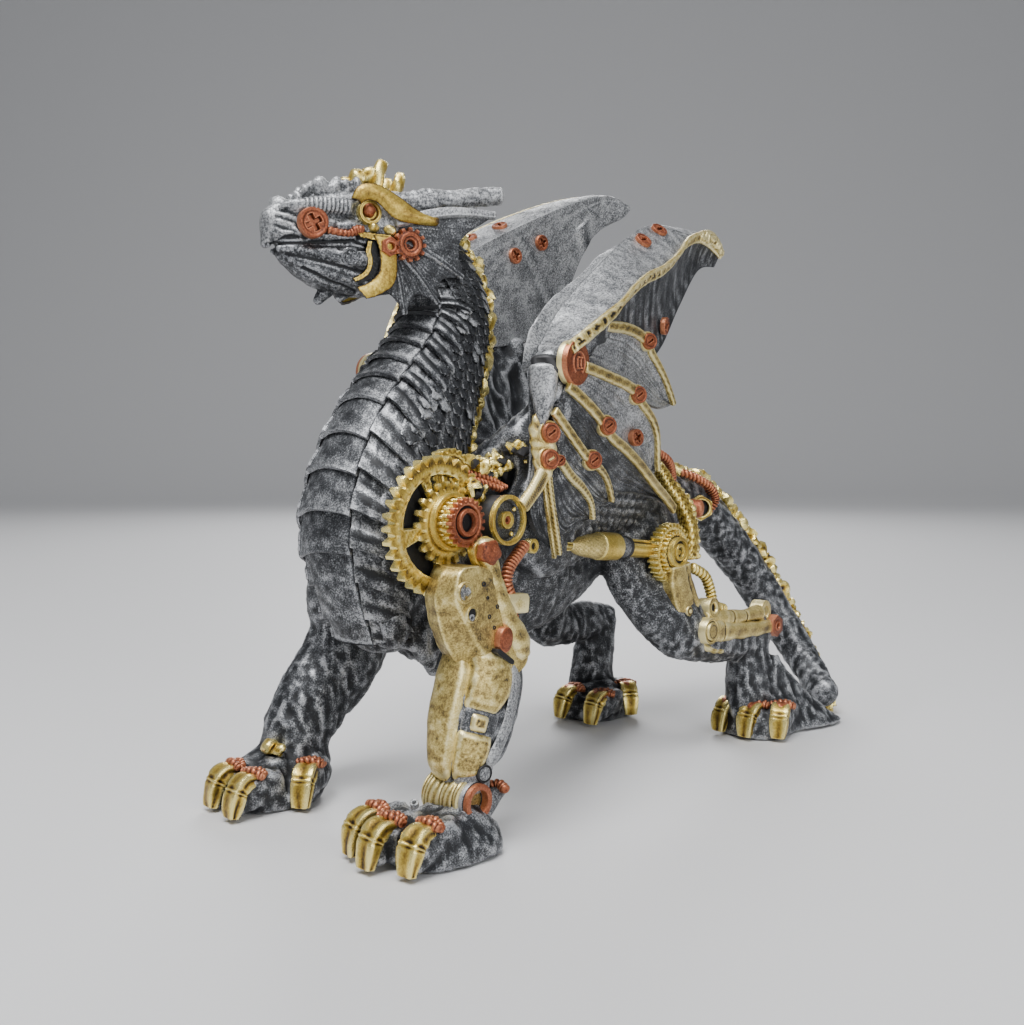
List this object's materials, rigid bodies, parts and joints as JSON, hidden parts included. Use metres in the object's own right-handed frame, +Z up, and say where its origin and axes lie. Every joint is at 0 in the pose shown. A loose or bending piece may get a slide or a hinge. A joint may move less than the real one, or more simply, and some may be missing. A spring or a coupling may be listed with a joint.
{
  "type": "dragon statue",
  "caption": "Standing winged dragon statue with clockwork gears at shoulder and hip, raised folded wings, a long neck and a tail curled to one hind paw.",
  "frame": {"origin": "centre of the figure's outline box, on the floor", "axes": "+Z up, the dragon faces -Y and its left side is +X"},
  "size_m": [0.1026, 0.2389, 0.191],
  "materials": {
    "gunmetal_paint": "near-black paint dry-brushed with silver, with satin gold and copper parts"
  },
  "bodies": {
    "root": {"dragon": "gunmetal_paint"}
  },
  "joints": []
}
